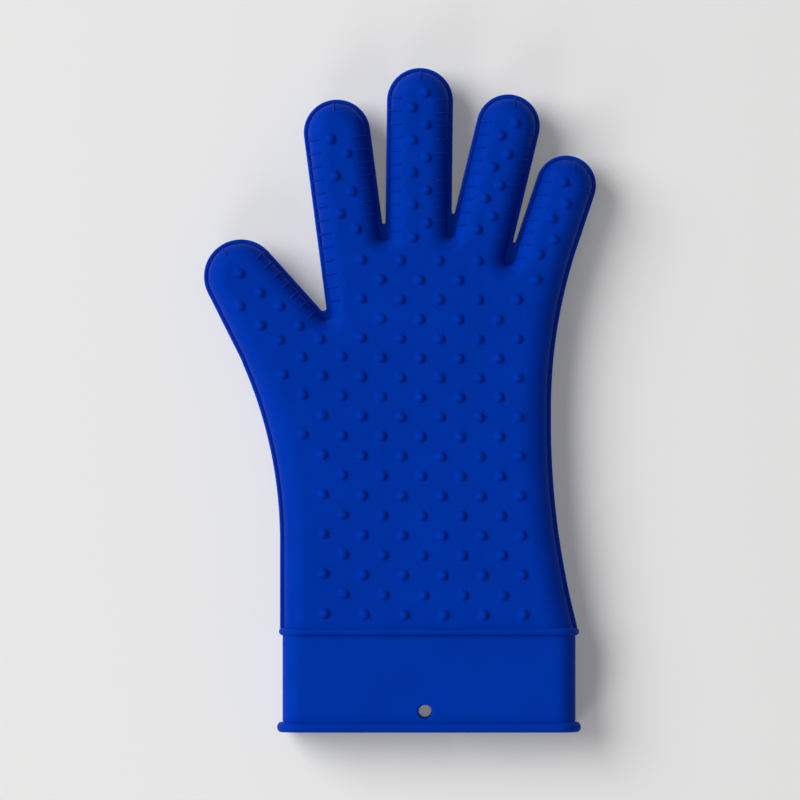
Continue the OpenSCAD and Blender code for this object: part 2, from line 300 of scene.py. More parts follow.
def crotch(digit, following, bottoms):
    """Stations round the bottom of a gap. The flange's edge and the wall each have a fillet that
    reaches down to its own height, so a flat web is left between them."""
    u, v = digit.down_right, following.up_left
    turn = math.atan2(v[1], v[0]) - math.atan2(u[1], u[0])
    half_gap = (math.pi - abs(turn)) / 2
    fillets = []
    for bottom, offset in zip(bottoms, (FLANGE_W, 0)):
        corner = meet(digit.feet["right"] - right_of(u) * offset, u,
                      following.feet["left"] - right_of(v) * offset, v)
        up = unit(v - u)
        radius = (bottom - corner[1]) / (up[1] / math.sin(half_gap) - 1)
        fillets.append((corner + up * radius / math.sin(half_gap), radius))
    stations = []
    for k in range(CROTCH_STEPS + 1):
        n = turned(right_of(u), turn * k / CROTCH_STEPS)
        flange, wall = [centre + n * radius for centre, radius in fillets]
        stations.append(Station(wall, flange, n, DIGIT_EDGE))
    return stations


def between(a, b, pitch):
    """Stations between two others, without them."""
    count = max(1, round(np.linalg.norm(b.wall - a.wall) / pitch))
    mixed = []
    for k in range(1, count):
        f = k / count
        inward = a.inward * (1 - f) + b.inward * f
        parts = [x * (1 - f) + y * f for x, y in ((a.wall, b.wall), (a.flange, b.flange))]
        mixed.append(Station(*parts, inward, a.width * (1 - f) + b.width * f))
    return mixed


def filled(stations, pitch):
    """The same stations with more between any that are far apart."""
    out = [stations[0]]
    for s in stations[1:]:
        out += between(out[-1], s, pitch) + [s]
    return out


left_wall = vec(LEFT_X + FLANGE_W, 0)
right_wall = vec(RIGHT_X - FLANGE_W, 0)
hem_corner = vec(RIGHT_X - FLANGE_W, HEM_BEND_Y)
hem_dir = -up_lean(HEM_LEAN)
hem_right = meet(hem_corner, hem_dir, vec(0, HEM_Y), vec(1, 0))


def level_station(wall):
    """A station at the hem, cut level."""
    side = 1 if wall[0] < 0 else -1
    return station(wall, vec(side, 0), PALM_EDGE)


def eased(stations, digit):
    """The stations of a side that lie below a digit's root cut, with the edge narrowing towards
    the cut."""
    kept = []
    for s in stations:
        below = float((s.wall - digit.tip) @ digit.axis) - root_cut(digit)
        if below > CUT_CLEARANCE:
            share = smooth_step(below / EASE_LENGTH)
            kept.append(s._replace(width=DIGIT_EDGE + (PALM_EDGE - DIGIT_EDGE) * share))
    return kept


def side_of_root(digit, side):
    return digit.station(side, digit.t_at(side, root_cut(digit)))


left_side = filled(
    [level_station(vec(LEFT_X + FLANGE_W, HEM_Y))]
    + bend(meet(left_wall, vec(0, 1), THUMB.feet["left"], THUMB.up_left), vec(0, 1),
           THUMB.up_left, THUMB_BEND_R + FLANGE_W), SIDE_PITCH)
left_side = filled(eased(left_side, THUMB) + [side_of_root(THUMB, "left")], SIDE_PITCH)
right_side = filled(
    bend(meet(LITTLE.feet["right"], LITTLE.down_right, right_wall, vec(0, -1)),
         LITTLE.down_right, vec(0, -1), LITTLE_BEND_R + FLANGE_W)
    + bend(hem_corner, vec(0, -1), hem_dir, HEM_BEND_R + FLANGE_W)
    + [level_station(hem_right)], SIDE_PITCH)
right_side = filled([side_of_root(LITTLE, "right")] + eased(right_side, LITTLE), SIDE_PITCH)


def gap_run(digit, following, bottoms):
    """Stations from one digit's root cut round the gap to the next digit's."""
    return filled(
        [side_of_root(digit, "right")] + crotch(digit, following, bottoms)
        + [side_of_root(following, "left")], DIGIT_PITCH)


gap_runs = [gap_run(DIGITS[k], DIGITS[k + 1], CROTCHES[k]) for k in range(4)]
palm_runs = [left_side, *gap_runs, right_side]

wall_line = list(left_side)
for k, digit in enumerate(DIGITS):
    wall_line += digit.end_run(root_cut(digit))[1:-1]
    wall_line += palm_runs[k + 1]


# ---- Heights ----

def nearest_wall(points):
    """Each point's distance to the wall line, and the edge's width there."""
    best = np.full(len(points), 1e9)
    width = np.full(len(points), DIGIT_EDGE)
    share_of_edge = np.full(len(points), 1e9)
    for a, b in zip(wall_line, wall_line[1:]):
        ab = b.wall - a.wall
        t = np.clip((points - a.wall) @ ab / max(ab @ ab, 1e-9), 0, 1)
        gap = np.linalg.norm(points - a.wall - t[:, None] * ab, axis=1)
        here = a.width + (b.width - a.width) * t
        closer = gap / here < share_of_edge
        share_of_edge[closer] = (gap / here)[closer]
        best[closer] = gap[closer]
        width[closer] = here[closer]
    return best, width


def outer_height(gap, width):
    share = np.clip(1 - gap / width, 0, 1)
    return UPRIGHT_H + RISE * np.sqrt(np.maximum(0, 1 - share ** 2))


def inner_height(gap, width):
    share = np.clip(1 - (gap - WALL) / (width - WALL), 0, 1)
    return UPRIGHT_H + (RISE - WALL) * np.sqrt(np.maximum(0, 1 - share ** 2))


DOME_R = (NUB_R ** 2 + NUB_H ** 2) / (2 * NUB_H)
DOME_EDGE = 2.42            # radius where the dome hands over to its fillet
NUB_RINGS = [DOME_R * math.sin(math.asin(DOME_EDGE / DOME_R) * k / 5) for k in range(1, 6)]
NUB_RINGS += [DOME_EDGE + (NUB_FOOT - DOME_EDGE) * f for f in (0.3, 0.6, 1)]
NUB_SEGMENTS = 20


def nub_profile(r):
    """Height of a nub above the skin at distance r from its middle."""
    drop = DOME_R - NUB_H
    dome = np.sqrt(np.maximum(DOME_R ** 2 - np.minimum(r, DOME_EDGE) ** 2, 0)) - drop
    edge = math.sqrt(DOME_R ** 2 - DOME_EDGE ** 2)
    span = NUB_FOOT - DOME_EDGE
    slope = -DOME_EDGE / edge * span
    t = np.clip((r - DOME_EDGE) / span, 0, 1)
    fillet = (edge - drop) * (2 * t ** 3 - 3 * t ** 2 + 1) + slope * (t ** 3 - 2 * t ** 2 + t)
    return np.where(r < DOME_EDGE, dome, np.maximum(fillet, 0))


def with_nubs(points, heights, nubs):
    heights = heights.copy()
    for nub in nubs:
        r = np.linalg.norm(points - nub, axis=1)
        close = r < NUB_FOOT
        heights[close] += nub_profile(r[close])
    return heights


def edge_gap(points, line):
    """Distance of each point to a closed line, and whether it is inside."""
    gap = np.full(len(points), 1e9)
    odd = np.zeros(len(points), bool)
    x, y = points[:, 0], points[:, 1]
    for a, b in zip(line, np.roll(line, -1, axis=0)):
        ab = b - a
        t = np.clip((points - a) @ ab / max(ab @ ab, 1e-12), 0, 1)
        gap = np.minimum(gap, np.linalg.norm(points - a - t[:, None] * ab, axis=1))
        if a[1] != b[1]:
            crosses = (a[1] > y) != (b[1] > y)
            odd ^= crosses & (a[0] + ab[0] * (y - a[1]) / ab[1] > x)
    return gap, odd


COLUMN_SPREAD = 0.24        # how much wider the columns are at the hem
COLUMN_DRIFT = 2.0          # how far they drift to the right on the way
ROW_SPREAD = 0.0063
ROW_BOW = 0.022
ROW_LEAN = (0.18, 0.1)      # at the fingers and at the hem


def lattice_point(row, column):
    """The palm's nubs stand in staggered rows that spread and lean a little, as in the CAD part."""
    f = row / (PALM_ROWS - 1)
    lean = ROW_LEAN[0] * (1 - f) + ROW_LEAN[1] * f
    x = 0.2 + COLUMN_DRIFT * f * f + column * (COLUMN_PITCH + COLUMN_SPREAD * f)
    y = FIRST_ROW_Y - row * (ROW_PITCH + ROW_SPREAD * row) + column * (ROW_BOW * column - lean)
    return vec(x, y)


def palm_nubs():
    """The lattice's points that are clear of the wall and of the thumb's nubs. The outline runs on
    past the hem, which may be nearer."""
    past = vec(0, -2 * NUB_CLEARANCE)
    outline = [s.wall for s in wall_line]
    outline = np.array(outline + [outline[-1] + past, outline[0] + past])
    points = np.array([lattice_point(row, column) for row in range(PALM_ROWS)
                       for column in range(-PALM_COLUMNS, PALM_COLUMNS + 1)
                       if (row + column) % 2 == 0])
    gap, inside = edge_gap(points, outline)
    for nub in THUMB.nubs():
        inside &= np.linalg.norm(points - nub, axis=1) >= NUB_CLEARANCE
    return list(points[inside & (gap >= NUB_CLEARANCE)])


ALL_NUBS = palm_nubs() + [n for digit in DIGITS for n in digit.nubs()]


# ---- Skins ----

# The flange's bead from its edge inwards, and the crease at the foot of the wall outwards,
# as (distance, height)
BEAD = [(0.08, 0), (0, 0.1), (0, 0.36), (0.12, 0.56), (0.36, 0.7), (0.78, 0.78), (1.2, 0.76),
        (1.46, 0.64), (1.62, 0.4)]
CREASE = [(0.58, 0.4), (0.46, 0.2), (0.12, 0.2), (0, 0.4), (0, 1.3)]
ARC_STEPS = 10
INNER_ARC_STEPS = 6


def arc_to_sheet(width, wall, steps):
    """(inset, height) round the edge's quarter ellipse, from the upright wall to the sheet."""
    run, rise = width - wall, RISE - wall
    last = math.acos(1 - (SHEET_INSET - wall) / run)
    angles = [last * k / steps for k in range(steps + 1)]
    return [(wall + run * (1 - math.cos(a)), UPRIGHT_H + rise * math.sin(a)) for a in angles]


def outer_section(s):
    """The outside of a skin at a station, from the parting plane up to the sheet."""
    over = unit(s.wall - s.flange)
    points = [(*(s.flange + over * d), z) for d, z in BEAD]
    points += [(*(s.wall - over * d), z) for d, z in CREASE]
    points.append((*s.wall, 2.3))
    points += [(*(s.wall + s.inward * d), z) for d, z in arc_to_sheet(s.width, 0, ARC_STEPS)]
    return points


def inner_section(s):
    points = [(*(s.wall + s.inward * WALL), 0)]
    arc = arc_to_sheet(s.width, WALL, INNER_ARC_STEPS)
    return points + [(*(s.wall + s.inward * d), z) for d, z in arc]


def sheet_edge(s):
    return s.wall + s.inward * SHEET_INSET


def cut_line(a, b, nubs, pitch):
    """Points of a cut across the sheet from station a to station b, without its ends. It is the
    same from either side, so that the two pieces meet along it point for point."""
    if a.wall[0] > b.wall[0]:
        return cut_line(b, a, nubs, pitch)[::-1]
    p, q = sheet_edge(a), sheet_edge(b)
    length = np.linalg.norm(q - p)
    u = (q - p) / length
    marks = [d - SHEET_INSET for d in edge_rings(a.width)]
    marks += [length - (d - SHEET_INSET) for d in edge_rings(b.width)]
    inner_marks = [m for m in marks if 0 < m < length]
    low = max([m for m in inner_marks if m < length / 2], default=0)
    high = min([m for m in inner_marks if m > length / 2], default=length)
    inner_marks += spread(low, high, pitch)[1:-1]
    for nub in nubs:
        along = float((nub - p) @ u)
        aside = abs(float(cross(u, nub - p)))
        if aside >= NUB_FOOT - 0.05 or not 0 < along < length:
            continue
        inner_marks = [m for m in inner_marks if abs(m - along) > NUB_FOOT + 0.2]
        chords = [math.sqrt(r * r - aside * aside) for r in NUB_RINGS if r > aside + 0.05]
        inner_marks += [along] + [along + sign * c for c in chords for sign in (-1, 1)]
    return [p + u * m for m in sorted(inner_marks)]


def edge_rings(width):
    """Insets at which the sheet repeats its outline, so that the rounded edge stays round."""
    rings = [7.2, 8.3, 9.5]
    return rings + ([11.0, 13.0] if width > 11 else [])


def thinned(points, apart, taken):
    """Points no closer than apart to each other or to those taken."""
    cells = {}

    def clash(p):
        i, j = int(p[0] // apart), int(p[1] // apart)
        near = (q for a in (-1, 0, 1) for b in (-1, 0, 1) for q in cells.get((i + a, j + b), ()))
        return any((p[0] - q[0]) ** 2 + (p[1] - q[1]) ** 2 < apart * apart for q in near)

    def add(p):
        cells.setdefault((int(p[0] // apart), int(p[1] // apart)), []).append(p)

    for p in taken:
        add(p)
    kept = []
    for p in points:
        if not clash(p):
            add(p)
            kept.append(p)
    return kept


def hex_grid(low, high, pitch):
    rows = int((high[1] - low[1]) / (pitch * 0.866)) + 1
    columns = int((high[0] - low[0]) / pitch) + 1
    return [vec(low[0] + (i + 0.5 * (j % 2)) * pitch, low[1] + j * pitch * 0.866)
            for j in range(rows) for i in range(columns)]


def nub_points(nub):
    around = [2 * math.pi * k / NUB_SEGMENTS for k in range(NUB_SEGMENTS)]
    rings = [nub + r * vec(math.cos(a), math.sin(a)) for r in NUB_RINGS for a in around]
    return [nub] + rings


def sheet(boundary, stations, nubs, pitch):
    """Triangles of the sheet inside a boundary of plan points."""
    line = np.array(boundary)
    low, high = line.min(0), line.max(0)
    rings = [s.wall + s.inward * d for s in stations for d in edge_rings(s.width)]
    grid = np.array(hex_grid(low, high, pitch))
    gap, width = nearest_wall(grid)
    grid = grid[gap > width + 0.3 * pitch]
    plain = np.array(rings + list(grid))
    for nub in nubs:
        plain = plain[np.linalg.norm(plain - nub, axis=1) > NUB_FOOT + 0.3]
    gap, inside = edge_gap(plain, line)
    plain = plain[inside & (gap > 0.35 * pitch)]
    plain = thinned(list(plain), 0.4 * pitch, boundary)
    domes = np.array([p for nub in nubs for p in nub_points(nub)]).reshape(-1, 2)
    if len(domes):
        gap, inside = edge_gap(domes, line)
        clear = nearest_wall(domes)[0] > SHEET_INSET + 0.2
        domes = domes[inside & (gap > 0.12) & clear]
    points = [Vector(p) for p in [*boundary, *plain, *domes]]
    loop = list(range(len(boundary)))
    verts, _, faces, _, _, _ = delaunay_2d_cdt(points, [], [loop], 1, 1e-5)
    return np.array([(v.x, v.y) for v in verts]), faces


class Shell:
    """Collects faces by their corner points and makes one closed mesh of them."""

    def __init__(self):
        self.points = []
        self.faces = []

    def add_points(self, points):
        start = len(self.points)
        self.points += [tuple(float(c) for c in p) for p in points]
        return list(range(start, len(self.points)))

    def face(self, points):
        self.faces.append(self.add_points(points))

    def grid(self, rows):
        """Quads between rows of points that all have the same length."""
        index = [self.add_points(row) for row in rows]
        for a, b in zip(index, index[1:]):
            for k in range(len(a) - 1):
                self.faces.append([a[k], a[k + 1], b[k + 1], b[k]])

    def triangles(self, points, faces):
        index = self.add_points(points)
        self.faces += [[index[k] for k in f] for f in faces]

    def build(self, name, place):
        """place turns a point in the shell's own frame into one in the glove's."""
        mesh = bpy.data.meshes.new(name)
        placed = [Vector(place(p)) * MM for p in self.points]
        mesh.from_pydata(placed, [], self.faces)
        bm = bmesh.new()
        bm.from_mesh(mesh)
        bmesh.ops.remove_doubles(bm, verts=bm.verts, dist=0.00001)
        bmesh.ops.dissolve_degenerate(bm, edges=bm.edges, dist=0.000002)
        bmesh.ops.recalc_face_normals(bm, faces=bm.faces)
        for f in bm.faces:
            f.smooth = True
        for e in bm.edges:
            if len(e.link_faces) == 2:
                e.smooth = e.calc_face_angle(0) < math.radians(52)
        bm.to_mesh(mesh)
        bm.free()
        piece = bpy.data.objects.new(name, mesh)
        bpy.context.scene.collection.objects.link(piece)
        return piece


def front(p):
    return p[0], p[1], MID_Z + p[2]


def back(p):
    return p[0], p[1], MID_Z - p[2]


def skin_shell(runs):
    """A closed shell over some runs of the wall line, with straight cuts between the runs."""
    shell = Shell()
    boundary, inner_boundary = [], []
    stations = [s for run in runs for s in run]
    middle = np.mean([sheet_edge(s) for s in stations], axis=0)
    reach = max(np.linalg.norm(sheet_edge(s) - middle) for s in stations) + NUB_FOOT
    nubs = [n for n in ALL_NUBS if np.linalg.norm(n - middle) < reach]
    for k, run in enumerate(runs):
        outer = [outer_section(s) for s in run]
        inner = [inner_section(s) for s in run]
        shell.grid(outer)
        shell.grid(inner)
        shell.grid([[o[0], i[0]] for o, i in zip(outer, inner)])
        following = runs[(k + 1) % len(runs)]
        cut = cut_line(run[-1], following[0], nubs, DIGIT_PITCH)
        inner_cut = cut_line(run[-1], following[0], [], INSIDE_PITCH)
        boundary += [sheet_edge(s) for s in run] + cut
        inner_boundary += [sheet_edge(s) for s in run] + inner_cut
        over = raised(cut, nubs)
        under = hollow(inner_cut)
        shell.face(outer[-1] + over + outer_section(following[0])[::-1]
                   + inner_section(following[0]) + under[::-1] + inner[-1][::-1])
    points, faces = sheet(boundary, stations, nubs, DIGIT_PITCH)
    shell.triangles(raised(points, nubs), faces)
    points, faces = sheet(inner_boundary, stations[::2], [], INSIDE_PITCH)
    shell.triangles(hollow(points), faces)
    return shell


def raised(points, nubs):
    points = np.array(points).reshape(-1, 2)
    heights = with_nubs(points, outer_height(*nearest_wall(points)), nubs)
    return [(p[0], p[1], z) for p, z in zip(points, heights)]


def hollow(points):
    points = np.array(points).reshape(-1, 2)
    heights = inner_height(*nearest_wall(points))
    return [(p[0], p[1], z) for p, z in zip(points, heights)]


# ---- Ribs ----

RIB_HALF_W = 0.45
RIB_H = 0.8
RIB_ROOT = 0.5              # how far a rib is sunk into the skin
RIB_FADE = 1.0              # length over which each end fades into the skin
APEX_RIB = 4.4              # length of the rib at each tip's apex
RIB_STEPS = 12              # along a rib
RIB_SIDES = 6               # over a rib


def add_rib(shell, wall, inward, width, length):
    """A small rounded rib that runs in over the rounded edge from the top of the upright wall."""
    along = right_of(unit(inward))
    last = math.acos(1 - length / width)
    rows = []
    for k in range(RIB_STEPS + 1):
        a = last * k / RIB_STEPS
        d, z = width * (1 - math.cos(a)), UPRIGHT_H + RISE * math.sin(a)
        normal = unit(vec(-RISE * math.cos(a), width * math.sin(a)))
        gone = math.hypot(d, z - UPRIGHT_H)
        fade = smooth_step(min(gone, length - d) / RIB_FADE)
        row = []
        for step in range(RIB_SIDES + 1):
            turn = math.pi * step / RIB_SIDES
            row.append((math.cos(turn) * RIB_HALF_W * (0.5 + 0.5 * fade),
                        RIB_H * (fade * math.sin(turn) - 0.1 * (1 - fade))))
        row += [(row[-1][0], -RIB_ROOT), (row[0][0], -RIB_ROOT)]
        row.append(row[0])
        rows.append([(*(wall + inward * (d + normal[0] * lift) + along * w), z + normal[1] * lift)
                     for w, lift in row])
    shell.grid(rows)
    shell.face(rows[0][:-1])
    shell.face(rows[-1][:-1])


def rib_places(digit):
    """Each of a digit's ribs: distance below the tip's centre, wall point, direction, length."""
    places = []
    for side, ribs in digit.ribs.items():
        for k in range(ribs.count):
            t = ribs.first + k * ribs.pitch
            wall, normal = digit.wall_at(side, t)
            aim = vec(1, 0) if ribs.direction == LEVEL else normal
            s = float((wall - digit.tip) @ digit.axis)
            places.append((s, wall, aim / (aim @ normal), ribs.length))
    wall, normal = digit.wall_at("left", -digit.wall_r * digit.sweep / 2)
    aim = vec(0, -1) if digit.ribs["left"].direction == LEVEL else normal
    places.append((-digit.wall_r, wall, aim / (aim @ normal), APEX_RIB))
    return places


def add_ribs(shell, digit, s_from, s_to):
    for s, wall, inward, length in rib_places(digit):
        if s_from < s <= s_to:
            add_rib(shell, wall, inward, DIGIT_EDGE, length)


# ---- Cuff and beads ----

cuff_low, cuff_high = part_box("cuff_band")
CUFF_X = (cuff_low.x + cuff_high.x) / 2 / MM
CUFF_HALF_H = (cuff_high.z - cuff_low.z) / 2 / MM
CUFF_TOP_Y = HEM_Y - HEM_BEAD
CUFF_END_Y = CUFF_TOP_Y - CUFF_BAND
BEAD_REACH = MID_Z - CUFF_HALF_H
hole = next(m for m in frame["record"]["mounts"] if m["name"] == "hanging_hole")
HOLE = vec(*hole["pos_m"][:2]) / MM
HOLE_R = hole["dims"]["r_mm"]
HOLE_LIP = 1.1              # radius of the rounded lip outside the hanging hole
HOLE_INNER_LIP = 0.3        # and inside the cuff
HOLE_SEGMENTS = 40


def round_rectangle(out, half_w=CUFF_HALF_W):
    """Points round the cuff's section, a distance out from its surface, anticlockwise from the
    right, as (x, z) about the middle of the cuff, with equal counts for every out."""
    r = CUFF_CORNER
    run_w, run_h = half_w - r, CUFF_HALF_H - r
    corners = [(run_w, run_h), (-run_w, run_h), (-run_w, -run_h), (run_w, -run_h)]
    points = []
    for k, (x, z) in enumerate(corners):
        angles = [math.pi / 2 * (k + j / 8) for j in range(9)]
        arc = [(x + (r + out) * math.cos(a), z + (r + out) * math.sin(a)) for a in angles]
        points += arc
        nx, nz = corners[(k + 1) % 4]
        a = angles[-1]
        start, end = arc[-1], (nx + (r + out) * math.cos(a), nz + (r + out) * math.sin(a))
        count = max(1, round(math.dist((x, z), (nx, nz)) / CUFF_PITCH))
        points += [(start[0] + (end[0] - start[0]) * j / count,
                    start[1] + (end[1] - start[1]) * j / count) for j in range(1, count)]
    return points


def swept_ring(section, half_w=CUFF_HALF_W):
    """A closed ring: section is a closed loop of (distance out of the cuff's surface, y)."""
    shell = Shell()
    loops = [round_rectangle(out, half_w) for out, y in section]
    rows = []
    for k in range(len(loops[0])):
        rows.append([(loop[k][0], y, loop[k][1]) for loop, (_, y) in zip(loops, section)])
    rows = [row + [row[0]] for row in rows]
    shell.grid(rows + [rows[0]])
    return shell


def arc_points(cx, cy, rx, ry, start, end, steps):
    """Points of an arc from start to end degrees, both included."""
    turns = [math.radians(start + (end - start) * k / steps) for k in range(steps + 1)]
    return [(cx + rx * math.cos(a), cy + ry * math.sin(a)) for a in turns]


HEM_UNDERSIDE = CUFF_TOP_Y + 0.45    # where the hem bead turns in to the band
HEM_INSET = 0.95                     # how much narrower the hem bead is than the rim, each side


def hem_bead_section():
    top, bottom = HEM_Y + 0.2, HEM_UNDERSIDE
    r = 1.8
    crown = BEAD_REACH - r
    outside = arc_points(crown, top - r, r, r, 90, 0, 7)
    outside += arc_points(crown, bottom + r, r, r, 0, -90, 7)
    return outside + [(0.3, bottom), (0, bottom - 0.1), (-WALL, bottom - 0.1), (-WALL, top)]


RIM_CREASE = 0.9            # width of the crease between the band and the rim bead


def rim_bead_section():
    top, bottom = CUFF_END_Y, CUFF_END_Y - RIM_BEAD
    r = RIM_BEAD / 2
    crown = BEAD_REACH - r
    outside = [(-WALL, top + RIM_CREASE), (0, top + RIM_CREASE), (-0.12, top + 0.62),
               (-0.26, top + 0.3), (-0.16, top + 0.08), (0.1, top)]
    outside += arc_points(crown + 0.3, bottom + r, r - 0.3, r, 84, -90, 12)
    inside = arc_points(-WALL + 0.9, bottom + 0.9, 0.9, 0.9, -90, -180, 5)
    return outside + inside


def bore_section():
    """(radius, height) down the hanging hole through one wall, from lip to lip."""
    lip, inner = HOLE_LIP, HOLE_INNER_LIP
    turns = [math.pi / 12 * k for k in range(7)]
    section = [(HOLE_R + lip * (1 - math.sin(a)), CUFF_HALF_H - lip * (1 - math.cos(a)))
               for a in turns]
    turns = [math.pi / 6 * k for k in range(4)]
    inside = CUFF_HALF_H - WALL
    return section + [(HOLE_R + inner * (1 - math.cos(a)), inside + inner * (1 - math.sin(a)))
                      for a in turns]


def cuff_shell():
    """The cuff's band: two flat panels with the hanging hole, and two rounded ends."""
    shell = Shell()
    rows_y = spread(HEM_UNDERSIDE + 0.1, CUFF_END_Y + RIM_CREASE, CUFF_PITCH)
    run_w = CUFF_HALF_W - CUFF_CORNER
    hole_at = HOLE - vec(CUFF_X, 0)
    for out in (0, -WALL):
        ring = round_rectangle(out)
        for sign in (-1, 1):
            side = [p for p in ring if p[0] * sign >= run_w - 1e-6]
            side.sort(key=lambda p: math.atan2(p[1], p[0] * sign))
            shell.grid([[(x, y, z) for x, z in side] for y in rows_y])
    xs = sorted({round(p[0], 6) for p in round_rectangle(0) if abs(p[0]) <= run_w + 1e-6})
    border = [vec(x, rows_y[0]) for x in xs]
    border += [vec(xs[-1], y) for y in rows_y[1:]]
    border += [vec(x, rows_y[-1]) for x in xs[-2::-1]]
    border += [vec(xs[0], y) for y in rows_y[-2:0:-1]]
    around = [2 * math.pi * k / HOLE_SEGMENTS for k in range(HOLE_SEGMENTS)]
    for out, lip in ((0, HOLE_LIP), (-WALL, HOLE_INNER_LIP)):
        add_panels(shell, border, CUFF_HALF_H + out, hole_at, HOLE_R + lip, around)
    for sign in (-1, 1):
        rows = [[(hole_at[0] + r * math.cos(a), hole_at[1] + r * math.sin(a), sign * z)
                 for a in around + around[:1]] for r, z in bore_section()]
        shell.grid(rows)
    for y in (rows_y[0], rows_y[-1]):
        outer, inner = round_rectangle(0), round_rectangle(-WALL)
        shell.grid([[(x, y, z) for x, z in ring + ring[:1]] for ring in (outer, inner)])
    return shell


def add_panels(shell, border, height, hole_at, radius, around):
    """The top and bottom flat panels at a height, with a round hole."""
    rim = [hole_at + radius * vec(math.cos(a), math.sin(a)) for a in around]
    rings = [hole_at + (radius + step) * vec(math.cos(a), math.sin(a))
             for step in (1.0, 2.4) for a in around[::2]]
    low, high = np.min(border, axis=0), np.max(border, axis=0)
    grid = np.array(hex_grid(low, high, CUFF_PITCH))
    gap, inside = edge_gap(grid, np.array(border))
    clear = np.linalg.norm(grid - hole_at, axis=1) > radius + 4
    grid = list(grid[inside & (gap > 1.5) & clear])
    rings = [p for p in rings if CUFF_END_Y + RIM_CREASE + 0.4 < p[1] < CUFF_TOP_Y - 0.5]
    points = [Vector(p) for p in [*border, *rim, *rings, *grid]]
    first = len(border)
    loop = list(range(first))
    hole_loop = list(range(first, first + len(rim)))
    edges = [(hole_loop[k], hole_loop[(k + 1) % len(rim)]) for k in range(len(rim))]
    verts, _, faces, _, _, _ = delaunay_2d_cdt(points, edges, [loop], 1, 1e-5)
    kept = []
    for f in faces:
        centre = np.mean([(verts[i].x, verts[i].y) for i in f], axis=0)
        if np.linalg.norm(centre - hole_at) > radius * 0.99:
            kept.append(f)
    for sign in (-1, 1):
        shell.triangles([(v.x, v.y, sign * height) for v in verts], kept)


def on_cuff(p):
    return CUFF_X + p[0], p[1], MID_Z + p[2]


# ---- Materials ----

def node_of(tree, kind, **inputs):
    node = tree.nodes.new(kind)
    for name, value in inputs.items():
        node.inputs[name.replace("_", " ")].default_value = value
    return node


def silicone(name, colour, roughness):
    """Moulded silicone: a satin skin with a fine matt grain, faint clouding and a trace of dust."""
    material = bpy.data.materials.new(name)
    material.use_nodes = True
    tree = material.node_tree
    shader = tree.nodes["Principled BSDF"]
    shader.inputs["IOR"].default_value = 1.42
    shader.inputs["Specular IOR Level"].default_value = 0.04
    shader.inputs["Specular Tint"].default_value = (0.05, 0.6, 1, 1)
    place = tree.nodes.new("ShaderNodeTexCoord").outputs["Object"]
    link = tree.links.new

    cloud = node_of(tree, "ShaderNodeTexNoise", Scale=38.0, Detail=4.0, Roughness=0.6)
    link(place, cloud.inputs["Vector"])
    tint = tree.nodes.new("ShaderNodeValToRGB")
    tint.color_ramp.elements[0].position = 0.3
    tint.color_ramp.elements[1].position = 0.72
    tint.color_ramp.elements[0].color = (*[c * 0.93 for c in colour], 1)
    tint.color_ramp.elements[1].color = (*[c * 1.06 for c in colour], 1)
    link(cloud.outputs["Fac"], tint.inputs["Fac"])

    dust = node_of(tree, "ShaderNodeTexNoise", Scale=2600.0, Detail=2.0, Roughness=0.5)
    link(place, dust.inputs["Vector"])
    specks = tree.nodes.new("ShaderNodeValToRGB")
    specks.color_ramp.elements[0].position = 0.66
    specks.color_ramp.elements[1].position = 0.8
    specks.color_ramp.elements[0].color = (0, 0, 0, 1)
    specks.color_ramp.elements[1].color = (0.1, 0.1, 0.1, 1)
    link(dust.outputs["Fac"], specks.inputs["Fac"])
    mix = tree.nodes.new("ShaderNodeMix")
    mix.data_type = "RGBA"
    link(specks.outputs["Color"], mix.inputs["Factor"])
    link(tint.outputs["Color"], mix.inputs["A"])
    mix.inputs["B"].default_value = (*[c * 0.9 + 0.02 for c in colour], 1)
    link(mix.outputs["Result"], shader.inputs["Base Color"])

    gloss = tree.nodes.new("ShaderNodeMapRange")
    gloss.inputs["To Min"].default_value = roughness - 0.04
    gloss.inputs["To Max"].default_value = roughness + 0.05
    link(cloud.outputs["Fac"], gloss.inputs["Value"])
    link(gloss.outputs["Result"], shader.inputs["Roughness"])

    grain = node_of(tree, "ShaderNodeTexNoise", Scale=1500.0, Detail=3.0, Roughness=0.55)
    link(place, grain.inputs["Vector"])
    waves = node_of(tree, "ShaderNodeTexNoise", Scale=60.0, Detail=2.0, Roughness=0.5)
    link(place, waves.inputs["Vector"])
    wave_bump = node_of(tree, "ShaderNodeBump", Strength=0.25, Distance=0.0003)
    link(waves.outputs["Fac"], wave_bump.inputs["Height"])
    grain_bump = node_of(tree, "ShaderNodeBump", Strength=0.22, Distance=0.00006)
    link(grain.outputs["Fac"], grain_bump.inputs["Height"])
    link(wave_bump.outputs["Normal"], grain_bump.inputs["Normal"])
    link(grain_bump.outputs["Normal"], shader.inputs["Normal"])
    return material


skin_silicone = silicone("skin_silicone", (0.0002, 0.0290, 0.355), 0.5)
cuff_silicone = silicone("cuff_silicone", (0.0002, 0.0312, 0.362), 0.5)


def finished(piece, material, slot, *nodes):
    piece.data.materials.append(material)
    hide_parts(*nodes)
    return piece


# ---- The pieces ----

def along(digit, s):
    """A point on a digit's axis at mid height, in metres."""
    return (*(digit.point(s) * MM), MID_Z * MM)


wrist = next(j for j in frame["joints"] if j["name"] == "wrist")
wrist_at = Vector(wrist["pos_m"])

palm_shell = skin_shell(palm_runs)
for digit in DIGITS:
    add_ribs(palm_shell, digit, root_cut(digit), math.inf)
for side, place in (("front", front), ("back", back)):
    nodes = [f"gauntlet_{side}", f"hand_{side}"] + (["wrist_fold"] if side == "front" else [])
    piece = palm_shell.build(f"palm_skin_{side}", place)
    finished(piece, skin_silicone, "silicone_skin", *nodes)
    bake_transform(piece)

